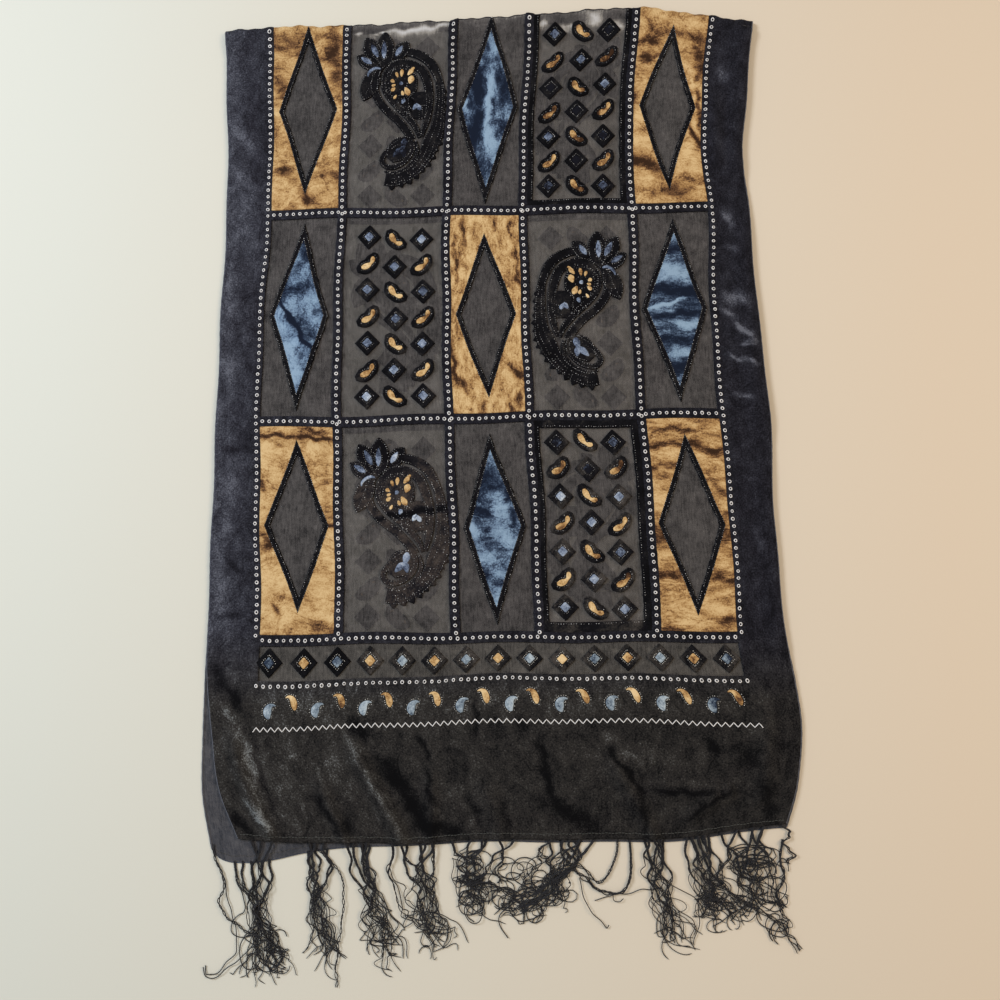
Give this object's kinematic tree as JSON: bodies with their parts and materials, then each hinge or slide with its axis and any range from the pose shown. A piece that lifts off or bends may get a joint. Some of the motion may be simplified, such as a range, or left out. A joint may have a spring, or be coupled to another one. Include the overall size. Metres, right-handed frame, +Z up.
{
  "type": "velvet scarf",
  "caption": "Burnt-out velvet scarf folded in half and laid flat, with crushed panels, sheer fields, small stitched rings and a knotted fringe.",
  "frame": {"origin": "on the flat underside, at the middle of the folded cloth without its fringe", "axes": "+X to the right across the cloth, +Y along the cloth from the fringe to the fold, +Z up from the table"},
  "size_m": [0.5258, 0.8968, 0.0108],
  "materials": {
    "black_velvet": "black velvet pile",
    "gold_velvet": "crushed gold velvet pile",
    "blue_velvet": "crushed blue velvet pile",
    "paisley_velvet": "black velvet pile with gold and blue marks",
    "sheer_chiffon": "thin black chiffon where the pile is burnt out",
    "velvet_back": "wrong side of the under half",
    "fringe_yarn": "twisted black yarn"
  },
  "bodies": {
    "root": {"beans_r1_c4": "sheer_chiffon", "beans_r2_c2": "sheer_chiffon", "beans_r3_c4": "sheer_chiffon", "blue_r1_c3": "blue_velvet", "blue_r2_c1": "blue_velvet", "blue_r2_c5": "blue_velvet", "blue_r3_c3": "blue_velvet", "fold_roll": "black_velvet", "fringe_front": "fringe_yarn", "fringe_under": "fringe_yarn", "gold_r1_c1": "gold_velvet", "gold_r1_c5": "gold_velvet", "gold_r2_c3": "gold_velvet", "gold_r3_c1": "gold_velvet", "gold_r3_c5": "gold_velvet", "hem_front": "black_velvet", "lattice_front": "black_velvet", "paisley_ground_r1_c2": "sheer_chiffon", "paisley_ground_r2_c4": "sheer_chiffon", "paisley_ground_r3_c2": "sheer_chiffon", "paisley_r1_c2": "paisley_velvet", "paisley_r2_c4": "paisley_velvet", "paisley_r3_c2": "paisley_velvet", "strip_diamonds": "sheer_chiffon", "strip_drops": "sheer_chiffon", "surround_r1_c3": "sheer_chiffon", "surround_r2_c1": "sheer_chiffon", "surround_r2_c5": "sheer_chiffon", "surround_r3_c3": "sheer_chiffon", "under_layer": "velvet_back", "window_r1_c1": "sheer_chiffon", "window_r1_c5": "sheer_chiffon", "window_r2_c3": "sheer_chiffon", "window_r3_c1": "sheer_chiffon", "window_r3_c5": "sheer_chiffon"}
  },
  "joints": []
}
